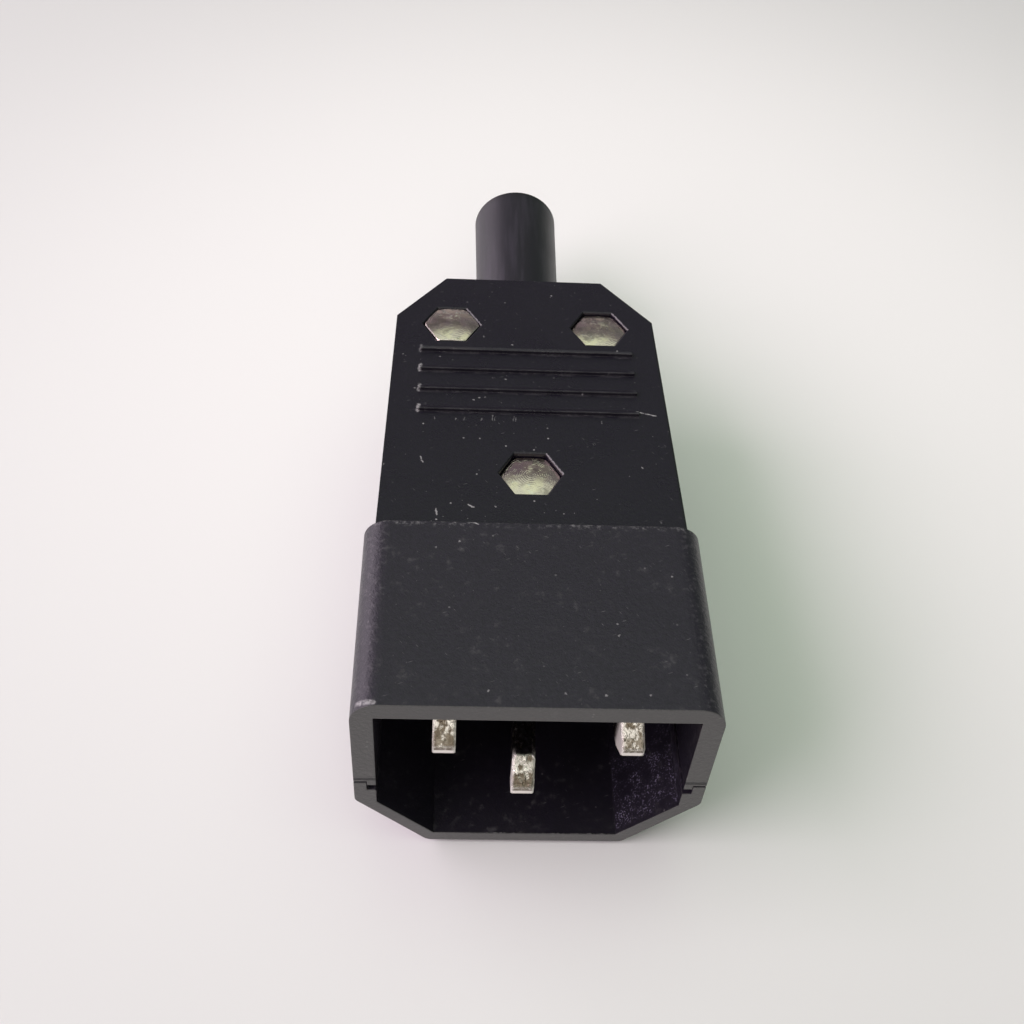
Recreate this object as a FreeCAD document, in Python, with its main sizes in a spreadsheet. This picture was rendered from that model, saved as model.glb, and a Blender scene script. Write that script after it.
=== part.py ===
import FreeCAD, Part
import Sketcher
import math
import os

# Rewireable in-line mains plug, three flat pins in a shroud, for a cord.
# Frame: X across the plug, Y from the mouth back along the cord, Z up.
# The origin is at the middle of the mouth, on the plane where the two half shells part.

# Driving dimensions in millimetres
DIMENSIONS = {
    # shroud round the pins
    "cavity_width": 24.5,
    "cavity_top": 9.0,
    "cavity_bottom": 8.15,
    "cavity_depth": 17.0,
    "cavity_chamfer_across": 4.6,
    "cavity_chamfer_up": 5.0,
    "shroud_side_wall": 1.75,
    "shroud_roof": 1.75,
    "shroud_keel": 1.15,
    "keel_chamfer_across": 1.2,
    "keel_chamfer_up": 1.45,
    "shroud_back": 1.25,
    "shroud_round": 2.2,
    "keel_round": 0.9,
    "step_edge": 0.3,
    # housing behind the shroud
    "bulkhead": 3.6,
    "side_wall": 2.2,
    "rear_wall": 2.4,
    "ceiling": 2.0,
    "floor": 2.4,
    "housing_taper": 0.6,
    "housing_edge": 0.25,
    "corner_across": 4.65,
    "corner_along": 5.95,
    "corner_inset": 0.7,
    # lapped seam between the half shells
    "seam_gap": 0.24,
    "lip": 1.0,
    "lap_depth": 1.3,
    "tongue_length": 0.55,
    "tongue_clearance": 0.06,
    # grip ridges on the upper shell
    "ridge_width": 20.15,
    "ridge_height": 0.36,
    "ridge_ramp": 0.75,
    "ridge_pitch": 2.74,
    "ridge_gap": 0.93,
    # case screws and the blind hexagon nuts that take them
    "front_boss_gap": 0.9,
    "rear_boss_gap": 0.4,
    "upper_boss_radius": 3.4,
    "lower_boss_radius": 2.6,
    "screw_hole_radius": 1.4,
    "case_thread_radius": 1.25,
    "case_head_radius": 2.4,
    "case_head_height": 1.4,
    "case_head_recess": 0.2,
    "head_clearance": 0.2,
    "nut_flats": 4.65,
    "nut_height": 2.4,
    "nut_dome": 13.0,
    "nut_cone_base": 4.7,
    "nut_cone_top": 2.3,
    "nut_thread_depth": 1.7,
    "nut_clearance": 0.1,
    "front_nut_rise": -0.25,
    "left_nut_rise": 0.18,
    "right_nut_rise": -0.1,
    "pocket_edge": 0.1,
    "screw_end_gap": 0.65,
    "thread_clearance": 0.04,
    # contacts
    "pin_spacing": 14.0,
    "pin_thickness": 1.85,
    "pin_height": 4.0,
    "live_tip_setback": 1.7,
    "earth_tip_setback": 0.5,
    "line_lean": 0.03,
    "neutral_lean": 1.0,
    "earth_lean": -0.58,
    "tip_flat": 0.8,
    "tip_wedge": 2.1,
    "tip_side_chamfer": 0.12,
    "pin_edge": 0.22,
    "pin_clearance": 0.08,
    "flange_setback": 1.2,
    "flange_length": 1.2,
    "flange_width": 4.2,
    "block_setback": 0.3,
    "block_width": 5.0,
    "block_height": 6.0,
    "block_drop": 0.5,
    "block_side_gap": 1.4,
    "live_block_length": 7.5,
    "earth_block_length": 6.2,
    "earth_block_gap": 0.6,
    "wire_hole_radius": 1.4,
    "wire_stop": 1.5,
    "eye_clearance": 0.15,
    "eye_band": 1.4,
    "eye_thickness": 2.0,
    "strap_width": 3.4,
    "terminal_screw_inset": 3.6,
    "terminal_thread_radius": 1.5,
    "terminal_thread_length": 4.2,
    "terminal_head_radius": 2.3,
    "terminal_head_height": 1.6,
    "head_room": 0.45,
    "rest_height": 2.9,
    "rest_width": 3.0,
    "rest_rib": 1.4,
    "rest_rib_inset": 0.9,
    # cord grip
    "cable_radius": 3.25,
    "cable_gap": 0.5,
    "clamp_gap": 0.8,
    "clamp_width": 4.4,
    "clamp_end": 2.4,
    "clamp_end_cut": 1.1,
    "clamp_seat": 1.0,
    "clamp_crown": 2.15,
    "clamp_post_gap": 1.45,
    "clamp_post_radius": 2.5,
    "clamp_hole_radius": 1.35,
    "clamp_thread_radius": 1.1,
    "clamp_thread_length": 10.0,
    "clamp_head_radius": 2.1,
    "clamp_head_height": 1.5,
    "pilot_end_gap": 0.9,
    "saddle_thickness": 2.0,
    "saddle_drop": 1.4,
    # screw drives
    "drive_width": 0.7,
    "drive_depth": 0.8,
    "drive_length": 2.8,
    "head_edge": 0.4,
    # cable boot
    "boot_wall": 1.0,
    "boot_reach": 23.0,
    "boot_bore_clearance": 0.1,
    "boot_flange_lip": 1.65,
    "boot_flange_length": 1.4,
    "boot_flange_gap": 0.09,
    "boot_clearance": 0.06,
    "boot_flare": 0.33,
    "boot_end_edge": 0.35,
}

HEXAGON_POINT = 1 / math.sqrt(3)
RIDGE_COUNT = 4

doc = FreeCAD.newDocument("InlinePlug")
sheet = doc.addObject("Spreadsheet::Sheet", "Sizes")


class Size:
    """A length with its value now and the sheet expression that drives it."""

    def __init__(self, value, text):
        self.value = value
        self.text = text

    def __add__(self, other):
        return Size(self.value + other.value, f"({self.text} + {other.text})")

    def __sub__(self, other):
        return Size(self.value - other.value, f"({self.text} - {other.text})")

    def __mul__(self, factor):
        return Size(self.value * factor, f"({self.text} * {factor})")

    def __truediv__(self, divisor):
        return Size(self.value / divisor, f"({self.text} / {divisor})")

    def __neg__(self):
        return Size(-self.value, f"(-{self.text})")


class Sizes:
    """Every driving dimension by its name, as a Size bound to its cell."""


dim = Sizes()
for row, (name, number) in enumerate(DIMENSIONS.items(), start=1):
    sheet.set(f"A{row}", name)
    sheet.set(f"B{row}", str(number))
    sheet.setAlias(f"B{row}", name)
    setattr(dim, name, Size(number, f"Sizes.{name}"))
doc.recompute()

# Places that several pieces share, across the plug
CENTRE = dim.cavity_top - dim.cavity_top
cavity_side = dim.cavity_width / 2
shroud_side = cavity_side + dim.shroud_side_wall
pin_side = dim.pin_spacing / 2
chamber_front_side = pin_side + dim.block_width / 2 + dim.block_side_gap
front_side = chamber_front_side + dim.side_wall
rear_side = front_side - dim.housing_taper
chamber_rear_side = rear_side - dim.side_wall
corner_side = rear_side - dim.corner_across
rear_screw_side = dim.cable_radius + dim.cable_gap + dim.upper_boss_radius
clamp_screw_side = dim.cable_radius + dim.clamp_post_gap + dim.clamp_post_radius

# Places along the plug, from the mouth to the boot
shroud_length = dim.cavity_depth + dim.shroud_back
flange_front = dim.cavity_depth + dim.flange_setback
flange_rear = flange_front + dim.flange_length
chamber_front = dim.cavity_depth + dim.bulkhead
block_front = chamber_front + dim.block_setback
front_screw_along = chamber_front + dim.front_boss_gap + dim.upper_boss_radius
earth_block_front = front_screw_along + dim.upper_boss_radius + dim.earth_block_gap
earth_block_rear = earth_block_front + dim.earth_block_length
clamp_along = earth_block_rear + dim.clamp_gap + dim.clamp_post_radius
rear_screw_along = clamp_along + dim.clamp_post_radius + dim.rear_boss_gap + dim.upper_boss_radius
boot_flange_front = rear_screw_along + dim.upper_boss_radius + dim.boot_flange_gap
boot_flange_rear = boot_flange_front + dim.boot_flange_length
chamber_rear = boot_flange_rear + dim.boot_clearance
housing_length = chamber_rear + dim.rear_wall
corner_start = housing_length - dim.corner_along
ridge_span = dim.ridge_pitch * (RIDGE_COUNT - 1)
ridge_end = rear_screw_along - dim.nut_flats / 2 - dim.nut_clearance - dim.ridge_gap
ridge_start = ridge_end - dim.ridge_ramp - ridge_span
eye_inner = dim.lower_boss_radius + dim.eye_clearance
eye_outer = eye_inner + dim.eye_band

# Heights above and below the parting plane
shroud_top = dim.cavity_top + dim.shroud_roof
shroud_bottom = -(dim.cavity_bottom + dim.shroud_keel)
live_block_bottom = -dim.block_drop
earth_block_bottom = -(dim.pin_height + dim.block_drop)
ceiling_height = live_block_bottom + dim.block_height + dim.terminal_head_height + dim.head_room
housing_top = ceiling_height + dim.ceiling
floor_height = earth_block_bottom - dim.rest_height
housing_bottom = floor_height - dim.floor
clamp_top = dim.cable_radius + dim.clamp_crown
boot_radius = dim.cable_radius + dim.boot_bore_clearance + dim.boot_wall
CASE_SCREWS = {
    "front": (CENTRE, front_screw_along),
    "left": (-rear_screw_side, rear_screw_along),
    "right": (rear_screw_side, rear_screw_along),
}
NUT_RISE = {
    "front": dim.front_nut_rise,
    "left": dim.left_nut_rise,
    "right": dim.right_nut_rise,
}
CLAMP_SCREWS = {
    "left": (-clamp_screw_side, clamp_along),
    "right": (clamp_screw_side, clamp_along),
}


def nut_seat(name):
    """The floor of a nut's pocket: each nut's crown stands a little above or below the housing's top."""
    return housing_top + NUT_RISE[name] - dim.nut_height


# Sketches
def new_body(label):
    """A body for one piece, labelled with the piece's name."""
    body = doc.addObject("PartDesign::Body", label)
    body.Label = label
    return body


def new_sketch(body, name, plane, lift=None):
    """A sketch on one of the body's origin planes, lifted along the plane's normal."""
    sketch = body.newObject("Sketcher::SketchObject", f"{body.Name}_{name}")
    support = next(item for item in body.Origin.OriginFeatures if item.Role == plane)
    sketch.AttachmentSupport = (support, [""])
    sketch.MapMode = "FlatFace"
    if lift is not None:
        sketch.setExpression("AttachmentOffset.Base.z", lift.text)
    return sketch


def drive(sketch, constraint, size):
    """Adds a dimension to the sketch and binds it to the sheet."""
    index = sketch.addConstraint(constraint)
    sketch.setExpression(f"Constraints[{index}]", size.text)


def place_point(sketch, curve, end, across, up):
    """Fixes one point of a curve by its two distances from the sketch's origin."""
    drive(sketch, Sketcher.Constraint("DistanceX", -1, 1, curve, end, across.value), across)
    drive(sketch, Sketcher.Constraint("DistanceY", -1, 1, curve, end, up.value), up)


def draw_polygon(sketch, corners):
    """A closed outline through the corners, each one driven by the sheet."""
    points = [FreeCAD.Vector(across.value, up.value, 0) for across, up in corners]
    following = points[1:] + points[:1]
    lines = [Part.LineSegment(start, end) for start, end in zip(points, following)]
    curves = sketch.addGeometry(lines, False)
    for curve, after in zip(curves, curves[1:] + curves[:1]):
        sketch.addConstraint(Sketcher.Constraint("Coincident", curve, 2, after, 1))
    for curve, (across, up) in zip(curves, corners):
        place_point(sketch, curve, 1, across, up)


def draw_rectangle(sketch, left, right, low, high):
    draw_polygon(sketch, [(left, low), (right, low), (right, high), (left, high)])


def draw_circle(sketch, across, up, radius):
    centre = FreeCAD.Vector(across.value, up.value, 0)
    curve = sketch.addGeometry(Part.Circle(centre, FreeCAD.Vector(0, 0, 1), radius.value), False)
    place_point(sketch, curve, 3, across, up)
    drive(sketch, Sketcher.Constraint("Radius", curve, radius.value), radius)


def mirrored(corners):
    """The corners of a right half, closed by their mirror images on the left."""
    return corners + [(-across, up) for across, up in reversed(corners)]


# Features
def pad(body, name, sketch, length, reverse=False, middle=False):
    feature = body.newObject("PartDesign::Pad", f"{body.Name}_{name}")
    feature.Profile = sketch
    feature.setExpression("Length", length.text)
    feature.Reversed = reverse
    feature.SideType = "Symmetric" if middle else "One side"
    return feature


def pocket(body, name, sketch, depth, reverse=False, middle=False):
    feature = body.newObject("PartDesign::Pocket", f"{body.Name}_{name}")
    feature.Profile = sketch
    feature.setExpression("Length", depth.text)
    feature.Reversed = reverse
    feature.SideType = "Symmetric" if middle else "One side"
    return feature


def revolve(body, name, sketch, axis):
    feature = body.newObject("PartDesign::Revolution", f"{body.Name}_{name}")
    feature.Profile = sketch
    feature.ReferenceAxis = (sketch, [axis])
    feature.Angle = 360
    return feature


def dress(body, name, kind, base, size, wanted):
    """A fillet or chamfer on every edge of the base feature that the test picks."""
    doc.recompute()
    edges = base.Shape.Edges
    picked = [f"Edge{index}" for index, edge in enumerate(edges, start=1) if wanted(edge)]
    feature = body.newObject(f"PartDesign::{kind}", f"{body.Name}_{name}")
    feature.Base = (base, picked)
    feature.setExpression("Radius" if kind == "Fillet" else "Size", size.text)
    return feature


def same(first, second):
    return abs(first - second) < 1e-6


def runs_along(edge):
    """True for an edge parallel to the plug's length."""
    start, end = edge.Vertexes[0].Point, edge.Vertexes[-1].Point
    return same(start.x, end.x) and same(start.z, end.z) and not same(start.y, end.y)


def lies_at(edge, axis, value):
    """True for an edge whose points all have this coordinate."""
    box = edge.BoundBox
    low, high = (getattr(box, f"{axis}{end}") for end in ("Min", "Max"))
    return same(low, value) and same(high, value)


# Outlines that the two half shells share
def housing_outline():
    return mirrored([
        (front_side, shroud_length),
        (rear_side, corner_start),
        (corner_side, housing_length),
    ])


def chamber_outline():
    return mirrored([
        (chamber_front_side, chamber_front),
        (chamber_rear_side, corner_start - dim.corner_inset),
        (corner_side - dim.corner_inset, chamber_rear),
    ])


def lap_strips(gap):
    """The inner half of each side wall, first along the shroud and then along the housing."""
    lap_end = corner_start - dim.lip
    shroud_strip = [
        (cavity_side, CENTRE),
        (shroud_side - dim.lip - gap, CENTRE),
        (shroud_side - dim.lip - gap, dim.cavity_depth - gap),
        (cavity_side, dim.cavity_depth - gap),
    ]
    housing_strip = [
        (chamber_front_side, chamber_front + gap),
        (front_side - dim.lip - gap, chamber_front + gap),
        (rear_side - dim.lip - gap, lap_end - gap),
        (chamber_rear_side, lap_end - gap),
    ]
    strips = [shroud_strip, housing_strip]
    return strips + [[(-across, along) for across, along in strip] for strip in strips]


def hexagon(across, along, half_flats):
    """Corners of a hexagon with two of them on the line across the plug."""
    point = half_flats * (2 * HEXAGON_POINT)
    return [
        (across + point, along),
        (across + point / 2, along + half_flats),
        (across - point / 2, along + half_flats),
        (across - point, along),
        (across - point / 2, along - half_flats),
        (across + point / 2, along - half_flats),
    ]


def add_shroud(body, corners, rounding):
    """The shroud's block with its long corners rounded and the edge of its step broken."""
    profile = new_sketch(body, "shroud_profile", "XZ_Plane")
    draw_polygon(profile, mirrored(corners))
    block = pad(body, "shroud", profile, shroud_length, reverse=True)
    seam = corners[0][1].value
    rounded = dress(body, "shroud_round", "Fillet", block, rounding,
                    lambda edge: runs_along(edge) and not lies_at(edge, "Z", seam))
    dress(body, "step_edge", "Chamfer", rounded, dim.step_edge,
          lambda edge: lies_at(edge, "Y", shroud_length.value) and not lies_at(edge, "Z", seam))


def add_housing(body, face, reverse):
    """The housing's block, with the edge round its outer face broken behind the step."""
    plan = new_sketch(body, "housing_plan", "XY_Plane")
    draw_polygon(plan, housing_outline())
    block = pad(body, "housing", plan, -face if reverse else face, reverse)
    dress(body, "housing_edge", "Chamfer", block, dim.housing_edge,
          lambda edge: lies_at(edge, "Z", face.value) and not lies_at(edge, "Y", shroud_length.value))


def cut_cavity(body, corners):
    profile = new_sketch(body, "cavity_profile", "XZ_Plane")
    draw_polygon(profile, mirrored(corners))
    pocket(body, "cavity", profile, dim.cavity_depth)


def cut_chamber(body, depth, reverse):
    plan = new_sketch(body, "chamber_plan", "XY_Plane")
    draw_polygon(plan, chamber_outline())
    pocket(body, "chamber", plan, depth, reverse)


def add_bosses(body, radius, height, reverse):
    plan = new_sketch(body, "boss_plan", "XY_Plane")
    for across, along in CASE_SCREWS.values():
        draw_circle(plan, across, along, radius)
    pad(body, "bosses", plan, height, reverse)


def cut_screw_holes(body, depth, reverse):
    plan = new_sketch(body, "screw_hole_plan", "XY_Plane")
    for across, along in CASE_SCREWS.values():
        draw_circle(plan, across, along, dim.screw_hole_radius)
    pocket(body, "screw_holes", plan, depth, reverse)


def cut_boot_hole(body):
    face = new_sketch(body, "boot_hole_face", "XZ_Plane", -boot_flange_front)
    draw_circle(face, CENTRE, CENTRE, boot_radius + dim.boot_clearance)
    pocket(body, "boot_hole", face, housing_length - boot_flange_front)


def cut_pin_slots(body, places, depth, reverse):
    """Slots through the bulkhead for the blades, each with a wider groove for the flange."""
    blade = dim.pin_thickness / 2 + dim.pin_clearance
    flange = dim.flange_width / 2 + dim.pin_clearance
    blades = new_sketch(body, "blade_slot_plan", "XY_Plane")
    flanges = new_sketch(body, "flange_slot_plan", "XY_Plane")
    for place in places:
        draw_rectangle(blades, place - blade, place + blade, dim.cavity_depth, chamber_front)
        draw_rectangle(flanges, place - flange, place + flange,
                       flange_front - dim.pin_clearance, flange_rear + dim.pin_clearance)
    pocket(body, "blade_slots", blades, depth, reverse)
    pocket(body, "flange_slots", flanges, depth, reverse)


def upper_shell():
    """Moulded half with the nut pockets and the grip ridges."""
    body = new_body("upper_shell")
    add_shroud(body, [(shroud_side, CENTRE), (shroud_side, shroud_top)], dim.shroud_round)
    add_housing(body, housing_top, reverse=False)
    cut_cavity(body, [(cavity_side, CENTRE), (cavity_side, dim.cavity_top)])
    cut_chamber(body, ceiling_height, reverse=True)
    add_bosses(body, dim.upper_boss_radius, housing_top - dim.ceiling / 2, reverse=False)
    tongues = new_sketch(body, "tongue_plan", "XY_Plane")
    for strip in lap_strips(dim.tongue_clearance):
        draw_polygon(tongues, strip)
    pad(body, "tongues", tongues, dim.tongue_length, reverse=True)
    cut_boot_hole(body)
    cut_pin_slots(body, (-pin_side, pin_side), dim.pin_height + dim.pin_clearance, reverse=True)
    cut_screw_holes(body, housing_top, reverse=True)
    add_ridges(body)
    cut_nut_pockets(body)
    return body


def add_ridges(body):
    """Grip ridges, each a ramp that falls towards the boot."""
    foot = housing_top - dim.ridge_height
    ramp_end = ridge_start + dim.ridge_ramp
    profile = new_sketch(body, "ridge_profile", "YZ_Plane")
    draw_polygon(profile, [
        (ridge_start, foot),
        (ramp_end, foot),
        (ramp_end, housing_top),
        (ridge_start, housing_top + dim.ridge_height),
    ])
    ridge = pad(body, "ridge", profile, dim.ridge_width, middle=True)
    doc.recompute()
    ridges = body.newObject("PartDesign::LinearPattern", "upper_shell_ridges")
    ridges.Originals = [ridge]
    backwards = next(item for item in body.Origin.OriginFeatures if item.Role == "Y_Axis")
    ridges.Direction = (backwards, [""])
    ridges.Occurrences = RIDGE_COUNT
    ridges.setExpression("Length", ridge_span.text)
    body.Tip = ridges


def cut_nut_pockets(body):
    """One hexagon pocket for each nut, as deep as that nut sits, with its upper edge broken."""
    half_flats = dim.nut_flats / 2 + dim.nut_clearance
    for name, (across, along) in CASE_SCREWS.items():
        plan = new_sketch(body, f"nut_pocket_plan_{name}", "XY_Plane", housing_top)
        draw_polygon(plan, hexagon(across, along, half_flats))
        sunk = pocket(body, f"nut_pocket_{name}", plan, housing_top - nut_seat(name))
    reach = dim.nut_flats.value
    top = housing_top.value
    centres = [FreeCAD.Vector(across.value, along.value, top) for across, along in CASE_SCREWS.values()]

    def on_pocket_rim(edge):
        if not lies_at(edge, "Z", top) or len(edge.Vertexes) != 2:
            return False
        ends = [vertex.Point for vertex in edge.Vertexes]
        return any(all(end.distanceToPoint(centre) < reach for end in ends) for centre in centres)

    dress(body, "pocket_edge", "Chamfer", sunk, dim.pocket_edge, on_pocket_rim)


def lower_shell():
    """Moulded half with the lip of the seam, the rests for the contacts and the cord saddle."""
    body = new_body("lower_shell")
    add_shroud(body, [
        (shroud_side, -dim.seam_gap),
        (shroud_side, shroud_bottom + dim.cavity_chamfer_up + dim.keel_chamfer_up),
        (shroud_side - dim.cavity_chamfer_across - dim.keel_chamfer_across, shroud_bottom),
    ], dim.keel_round)
    add_housing(body, housing_bottom, reverse=True)
    wall = new_sketch(body, "bulkhead_plan", "XY_Plane")
    draw_rectangle(wall, -cavity_side, cavity_side, dim.cavity_depth, shroud_length)
    pad(body, "bulkhead", wall, dim.lap_depth, reverse=True)
    cut_cavity(body, [
        (cavity_side, CENTRE),
        (cavity_side, dim.cavity_chamfer_up - dim.cavity_bottom),
        (cavity_side - dim.cavity_chamfer_across, -dim.cavity_bottom),
    ])
    cut_chamber(body, -floor_height, reverse=False)
    add_bosses(body, dim.lower_boss_radius, -(housing_bottom + dim.floor / 2), reverse=True)
    shelves = new_sketch(body, "lap_plan", "XY_Plane")
    for strip in lap_strips(CENTRE):
        draw_polygon(shelves, strip)
    pocket(body, "lap", shelves, dim.lap_depth)
    cut_boot_hole(body)
    cut_pin_slots(body, (CENTRE,), dim.pin_height, reverse=False)
    add_contact_rests(body)
    add_cord_saddle(body)
    cut_screw_holes(body, -housing_bottom, reverse=False)
    heads = new_sketch(body, "counterbore_plan", "XY_Plane", housing_bottom)
    for across, along in CASE_SCREWS.values():
        draw_circle(heads, across, along, dim.case_head_radius + dim.head_clearance)
    pocket(body, "counterbores", heads, dim.case_head_recess + dim.case_head_height, reverse=True)
    return body


def add_contact_rests(body):
    """Cross ribs on the floor, under both ends of each terminal block."""
    half_rib = dim.rest_rib / 2
    half_width = dim.rest_width / 2
    live_rear = block_front + dim.live_block_length
    rests = {
        "live": ((-pin_side, pin_side), block_front, live_rear, live_block_bottom),
        "earth": ((CENTRE,), earth_block_front, earth_block_rear, earth_block_bottom),
    }
    for name, (sides, front, rear, height) in rests.items():
        plan = new_sketch(body, f"{name}_rest_plan", "XY_Plane", housing_bottom)
        for middle in (front + dim.rest_rib_inset, rear - dim.rest_rib_inset):
            for side in sides:
                draw_rectangle(plan, side - half_width, side + half_width,
                               middle - half_rib, middle + half_rib)
        pad(body, f"{name}_rests", plan, height - housing_bottom)


def add_cord_saddle(body):
    """Two posts for the clamp's screws, joined by a rib that is hollowed to the cable's round."""
    half_rib = dim.saddle_thickness / 2
    front = clamp_along - half_rib
    rib = new_sketch(body, "saddle_plan", "XY_Plane", housing_bottom)
    draw_rectangle(rib, -clamp_screw_side, clamp_screw_side, front, clamp_along + half_rib)
    pad(body, "saddle", rib, -(housing_bottom + dim.saddle_drop))
    hollow = new_sketch(body, "saddle_hollow", "XZ_Plane", -front)
    draw_circle(hollow, CENTRE, CENTRE, dim.cable_radius)
    pocket(body, "saddle_round", hollow, dim.saddle_thickness)
    posts = new_sketch(body, "post_plan", "XY_Plane", housing_bottom)
    pilots = new_sketch(body, "pilot_plan", "XY_Plane", dim.clamp_seat)
    for across, along in CLAMP_SCREWS.values():
        draw_circle(posts, across, along, dim.clamp_post_radius)
        draw_circle(pilots, across, along, dim.clamp_thread_radius + dim.thread_clearance)
    pad(body, "posts", posts, dim.clamp_seat - housing_bottom)
    thread_end = clamp_top - dim.clamp_thread_length
    pocket(body, "pilots", pilots, dim.clamp_seat - thread_end + dim.pilot_end_gap)


def add_blade(body, tip, rear, low, lean):
    """A flat pin that leans a little, with its long edges broken, a wedge at its tip and a locking flange."""
    half = dim.pin_thickness / 2
    high = low + dim.pin_height
    plan = new_sketch(body, "blade_plan", "XY_Plane", low)
    draw_polygon(plan, [
        (lean - half, tip),
        (lean + half, tip),
        (half, dim.cavity_depth),
        (half, rear),
        (-half, rear),
        (-half, dim.cavity_depth),
    ])
    blade = pad(body, "blade", plan, dim.pin_height)

    def is_long(edge):
        flat = any(lies_at(edge, "Z", height.value) for height in (low, high))
        return flat and not any(lies_at(edge, "Y", end.value) for end in (tip, rear))

    edged = dress(body, "long_edges", "Chamfer", blade, dim.pin_edge, is_long)
    dress(body, "tip_sides", "Chamfer", edged, dim.tip_side_chamfer,
          lambda edge: lies_at(edge, "Y", tip.value) and edge.BoundBox.ZLength > dim.pin_thickness.value)

    middle = low + dim.pin_height / 2
    half_flat = dim.tip_flat / 2
    wedge = new_sketch(body, "tip_profile", "YZ_Plane")
    for edge_height, flat_height in ((low, middle - half_flat), (high, middle + half_flat)):
        draw_polygon(wedge, [(tip, edge_height), (tip, flat_height), (tip + dim.tip_wedge, edge_height)])
    pocket(body, "tip", wedge, dim.pin_spacing, middle=True)

    flange = new_sketch(body, "flange_plan", "XY_Plane", low)
    half_flange = dim.flange_width / 2
    draw_rectangle(flange, -half_flange, half_flange, flange_front, flange_rear)
    pad(body, "flange", flange, dim.pin_height)


def add_terminal(body, front, length, bottom):
    """A pillar terminal: a block with a wire hole from behind and a tapped hole from above."""
    rear = front + length
    half_width = dim.block_width / 2
    plan = new_sketch(body, "block_plan", "XY_Plane", bottom)
    draw_rectangle(plan, -half_width, half_width, front, rear)
    pad(body, "block", plan, dim.block_height)
    wire = new_sketch(body, "wire_hole_face", "XZ_Plane", -rear)
    draw_circle(wire, CENTRE, bottom + dim.block_height / 2, dim.wire_hole_radius)
    pocket(body, "wire_hole", wire, length - dim.wire_stop, reverse=True)
    tapped = new_sketch(body, "screw_hole_plan", "XY_Plane", bottom + dim.block_height)
    draw_circle(tapped, CENTRE, front + dim.terminal_screw_inset,
                dim.terminal_thread_radius + dim.thread_clearance)
    pocket(body, "screw_hole", tapped, dim.terminal_thread_length + dim.thread_clearance)


def live_contact(label, side, lean):
    """One of the two outer pins, in one piece with its terminal."""
    body = new_body(label)
    add_blade(body, dim.live_tip_setback, block_front, CENTRE, lean)
    add_terminal(body, block_front, dim.live_block_length, live_block_bottom)
    body.setExpression("Placement.Base.x", side.text)
    return body


def earth_contact():
    """The middle pin: its strap loops round the front screw boss to the terminal behind it."""
    body = new_body("earth_contact")
    low = -dim.pin_height
    eye_middle = eye_inner + dim.eye_band / 2
    add_blade(body, dim.earth_tip_setback, front_screw_along - eye_middle, low, dim.earth_lean)
    eye = new_sketch(body, "eye_plan", "XY_Plane", low)
    draw_circle(eye, CENTRE, front_screw_along, eye_outer)
    draw_circle(eye, CENTRE, front_screw_along, eye_inner)
    pad(body, "eye", eye, dim.eye_thickness)
    strap = new_sketch(body, "strap_plan", "XY_Plane", low)
    half_strap = dim.strap_width / 2
    draw_rectangle(strap, -half_strap, half_strap, front_screw_along + eye_middle, earth_block_front)
    pad(body, "strap", strap, dim.eye_thickness)
    add_terminal(body, earth_block_front, dim.earth_block_length, earth_block_bottom)
    return body


def screw(label, head_radius, head_height, thread_radius, thread_length, crossed):
    """A machine screw standing on its head: a chamfered head with a cross, or a square one with a slot."""
    body = new_body(label)
    end = head_height + thread_length
    rim = [(head_radius, CENTRE)]
    if crossed:
        rim = [(head_radius - dim.head_edge, CENTRE), (head_radius, dim.head_edge)]
    profile = new_sketch(body, "profile", "XZ_Plane")
    draw_polygon(profile, [
        (CENTRE, CENTRE),
        *rim,
        (head_radius, head_height),
        (thread_radius, head_height),
        (thread_radius, end),
        (CENTRE, end),
    ])
    revolve(body, "turned", profile, "V_Axis")
    width = dim.drive_width / 2
    length = dim.drive_length / 2
    recess = new_sketch(body, "drive_plan", "XY_Plane")
    if crossed:
        draw_polygon(recess, [
            (length, -width), (length, width), (width, width),
            (width, length), (-width, length), (-width, width),
            (-length, width), (-length, -width), (-width, -width),
            (-width, -length), (width, -length), (width, -width),
        ])
    else:
        draw_rectangle(recess, -head_radius, head_radius, -width, width)
    pocket(body, "drive", recess, dim.drive_depth, reverse=True)
    return body


def put(piece, across, along, up):
    """Binds the piece's place to the sheet."""
    for axis, size in zip("xyz", (across, along, up)):
        piece.setExpression(f"Placement.Base.{axis}", size.text)


def head_up(piece):
    piece.Placement.Rotation = FreeCAD.Rotation(FreeCAD.Vector(1, 0, 0), 180)


def case_screw(name, across, along):
    head_face = housing_bottom + dim.case_head_recess
    end = nut_seat(name) + dim.nut_thread_depth - dim.screw_end_gap
    piece = screw(f"case_screw_{name}", dim.case_head_radius, dim.case_head_height,
                  dim.case_thread_radius, end - head_face - dim.case_head_height, crossed=True)
    put(piece, across, along, head_face)
    return piece


def clamp_screw(name, across, along):
    piece = screw(f"clamp_screw_{name}", dim.clamp_head_radius, dim.clamp_head_height,
                  dim.clamp_thread_radius, dim.clamp_thread_length, crossed=False)
    head_up(piece)
    put(piece, across, along, clamp_top + dim.clamp_head_height)
    return piece


def terminal_screw(name, across, block_start, block_bottom):
    piece = screw(f"{name}_terminal_screw", dim.terminal_head_radius, dim.terminal_head_height,
                  dim.terminal_thread_radius, dim.terminal_thread_length, crossed=False)
    head_up(piece)
    top = block_bottom + dim.block_height + dim.terminal_head_height
    put(piece, across, block_start + dim.terminal_screw_inset, top)
    return piece


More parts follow.
